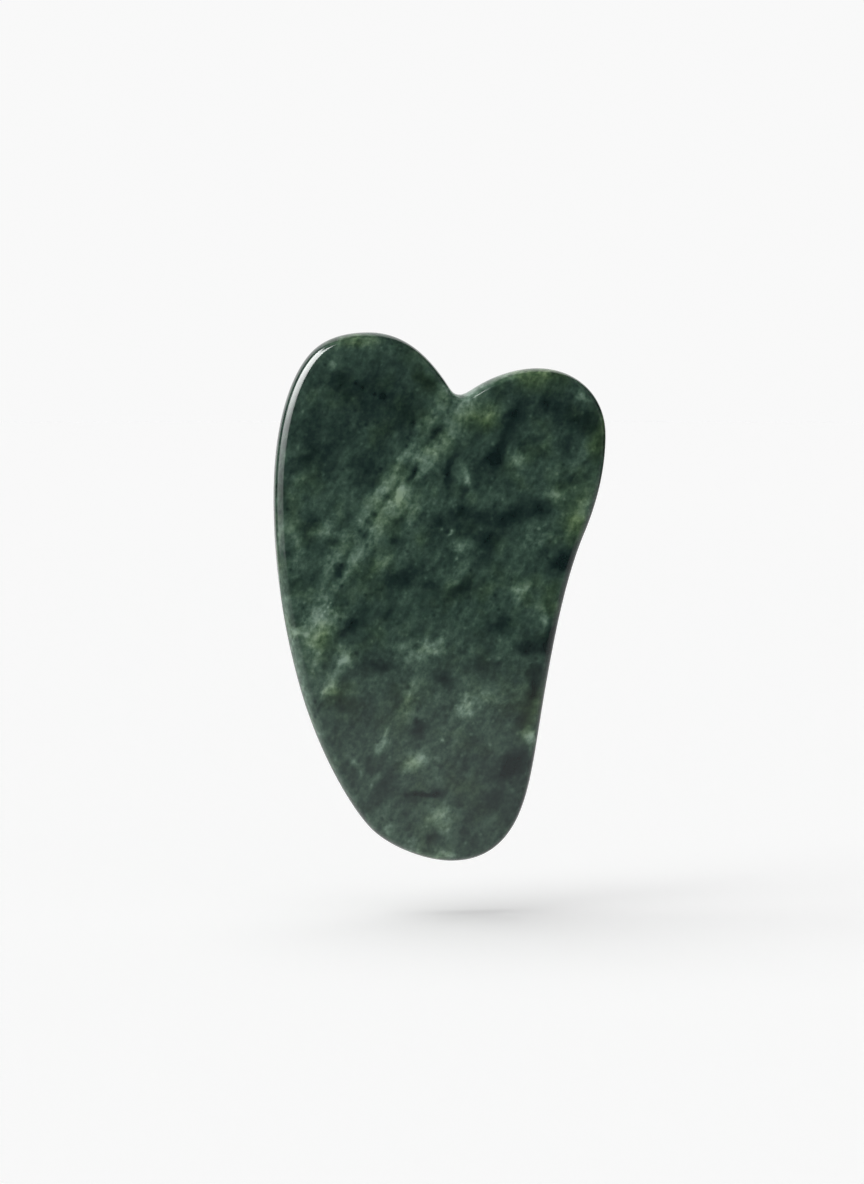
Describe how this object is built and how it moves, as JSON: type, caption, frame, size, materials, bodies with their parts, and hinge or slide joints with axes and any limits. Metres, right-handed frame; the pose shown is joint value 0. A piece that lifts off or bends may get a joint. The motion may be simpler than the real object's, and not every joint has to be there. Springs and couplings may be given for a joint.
{
  "type": "gua sha scraper",
  "caption": "Flat hand-held massage stone of polished green jade, heart-shaped with a notch between uneven lobes, a long tapering body and a full round rim.",
  "frame": {"origin": "centre of the stone's bounding box, at mid thickness", "axes": "+Z along the length towards the two-lobed end, X across the width with the tall lobe at -X, +Y through the thickness from the front face to the back face"},
  "size_m": [0.0536, 0.006, 0.085],
  "materials": {
    "polished_jade": "high polish, mottled dark green with paler sage veins, slightly translucent at the rim"
  },
  "bodies": {
    "root": {"jade_stone": "polished_jade"}
  },
  "joints": []
}
